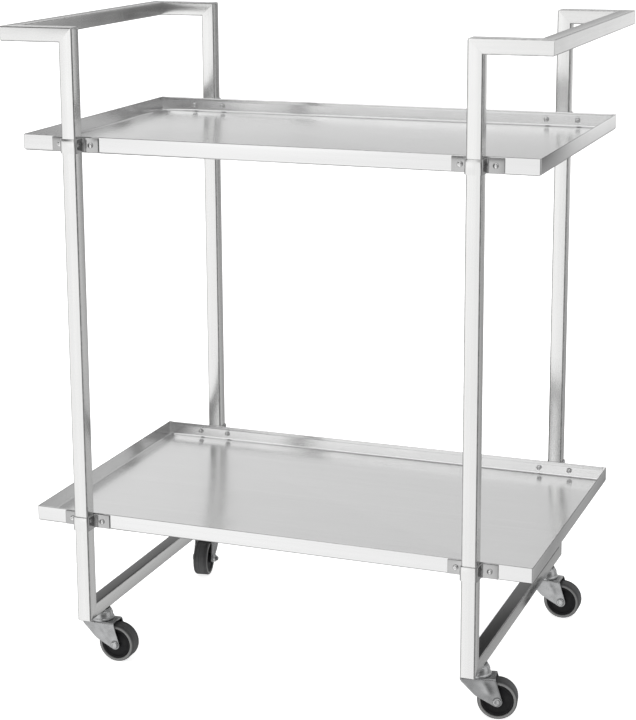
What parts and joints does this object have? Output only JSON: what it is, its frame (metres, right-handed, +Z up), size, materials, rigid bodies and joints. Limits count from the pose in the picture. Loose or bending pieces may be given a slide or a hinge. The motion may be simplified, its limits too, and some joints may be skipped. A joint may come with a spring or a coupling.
{
  "type": "serving trolley",
  "caption": "Stainless serving trolley: trays with low rims between square-tube end frames that rise into push handles, rolling on swivel casters.",
  "frame": {"origin": "on the floor, under the middle of the trolley", "axes": "+Z up, +X along the trays towards the right handle, +Y towards the back, so the front is at -Y"},
  "size_m": [0.702, 0.4556, 0.844],
  "materials": {
    "frame_steel": "brushed along each tube",
    "tray_steel": "fine satin, slightly reflective",
    "clip_steel": "brushed",
    "screw_steel": "bright",
    "caster_zinc": "zinc plated",
    "wheel_plastic": "matt black moulding",
    "tyre_rubber": "grey, fine circumferential lines"
  },
  "bodies": {
    "root": {"left_bottom_rail": "frame_steel", "left_back_post": "frame_steel", "left_handle_back_arm": "frame_steel", "left_handle_bar": "frame_steel", "left_handle_front_arm": "frame_steel", "left_front_post": "frame_steel", "right_bottom_rail": "frame_steel", "right_back_post": "frame_steel", "right_handle_back_arm": "frame_steel", "right_handle_bar": "frame_steel", "right_handle_front_arm": "frame_steel", "right_front_post": "frame_steel", "upper_tray": "tray_steel", "upper_left_front_clip": "clip_steel", "upper_left_front_outer_screw": "screw_steel", "upper_left_front_inner_screw": "screw_steel", "upper_left_back_clip": "clip_steel", "upper_left_back_outer_screw": "screw_steel", "upper_left_back_inner_screw": "screw_steel", "upper_right_front_clip": "clip_steel", "upper_right_front_outer_screw": "screw_steel", "upper_right_front_inner_screw": "screw_steel", "upper_right_back_clip": "clip_steel", "upper_right_back_outer_screw": "screw_steel", "upper_right_back_inner_screw": "screw_steel", "lower_tray": "tray_steel", "lower_left_front_clip": "clip_steel", "lower_left_front_outer_screw": "screw_steel", "lower_left_front_inner_screw": "screw_steel", "lower_left_back_clip": "clip_steel", "lower_left_back_outer_screw": "screw_steel", "lower_left_back_inner_screw": "screw_steel", "lower_right_front_clip": "clip_steel", "lower_right_front_outer_screw": "screw_steel", "lower_right_front_inner_screw": "screw_steel", "lower_right_back_clip": "clip_steel", "lower_right_back_outer_screw": "screw_steel", "lower_right_back_inner_screw": "screw_steel", "front_left_caster_head": "caster_zinc", "front_right_caster_head": "caster_zinc", "back_left_caster_head": "caster_zinc", "back_right_caster_head": "caster_zinc"},
    "front_left_fork": {"front_left_caster_fork": "caster_zinc", "front_left_caster_axle": "caster_zinc"},
    "front_left_wheel": {"front_left_wheel_hub": "wheel_plastic", "front_left_wheel_tyre": "tyre_rubber"},
    "front_right_fork": {"front_right_caster_fork": "caster_zinc", "front_right_caster_axle": "caster_zinc"},
    "front_right_wheel": {"front_right_wheel_hub": "wheel_plastic", "front_right_wheel_tyre": "tyre_rubber"},
    "back_left_fork": {"back_left_caster_fork": "caster_zinc", "back_left_caster_axle": "caster_zinc"},
    "back_left_wheel": {"back_left_wheel_hub": "wheel_plastic", "back_left_wheel_tyre": "tyre_rubber"},
    "back_right_fork": {"back_right_caster_fork": "caster_zinc", "back_right_caster_axle": "caster_zinc"},
    "back_right_wheel": {"back_right_wheel_hub": "wheel_plastic", "back_right_wheel_tyre": "tyre_rubber"}
  },
  "joints": [
    {"name": "front_left_swivel", "type": "hinge", "parent": "root", "child": "front_left_fork", "pos_m": [-0.26, -0.1745, 0.055], "axis": [0, 0, 1], "continuous": true},
    {"name": "front_left_roll", "type": "hinge", "parent": "front_left_fork", "child": "front_left_wheel", "pos_m": [-0.236, -0.1745, 0.025], "axis": [0, 1, 0], "continuous": true},
    {"name": "front_right_swivel", "type": "hinge", "parent": "root", "child": "front_right_fork", "pos_m": [0.26, -0.1745, 0.055], "axis": [0, 0, 1], "continuous": true},
    {"name": "front_right_roll", "type": "hinge", "parent": "front_right_fork", "child": "front_right_wheel", "pos_m": [0.28356, -0.16992, 0.025], "axis": [-0.1908, 0.9816, 0], "continuous": true},
    {"name": "back_left_swivel", "type": "hinge", "parent": "root", "child": "back_left_fork", "pos_m": [-0.26, 0.1745, 0.055], "axis": [0, 0, 1], "continuous": true},
    {"name": "back_left_roll", "type": "hinge", "parent": "back_left_fork", "child": "back_left_wheel", "pos_m": [-0.25625, 0.1508, 0.025], "axis": [0.9877, 0.1564, 0], "continuous": true},
    {"name": "back_right_swivel", "type": "hinge", "parent": "root", "child": "back_right_fork", "pos_m": [0.26, 0.1745, 0.055], "axis": [0, 0, 1], "continuous": true},
    {"name": "back_right_roll", "type": "hinge", "parent": "back_right_fork", "child": "back_right_wheel", "pos_m": [0.284, 0.1745, 0.025], "axis": [0, 1, 0], "continuous": true}
  ]
}
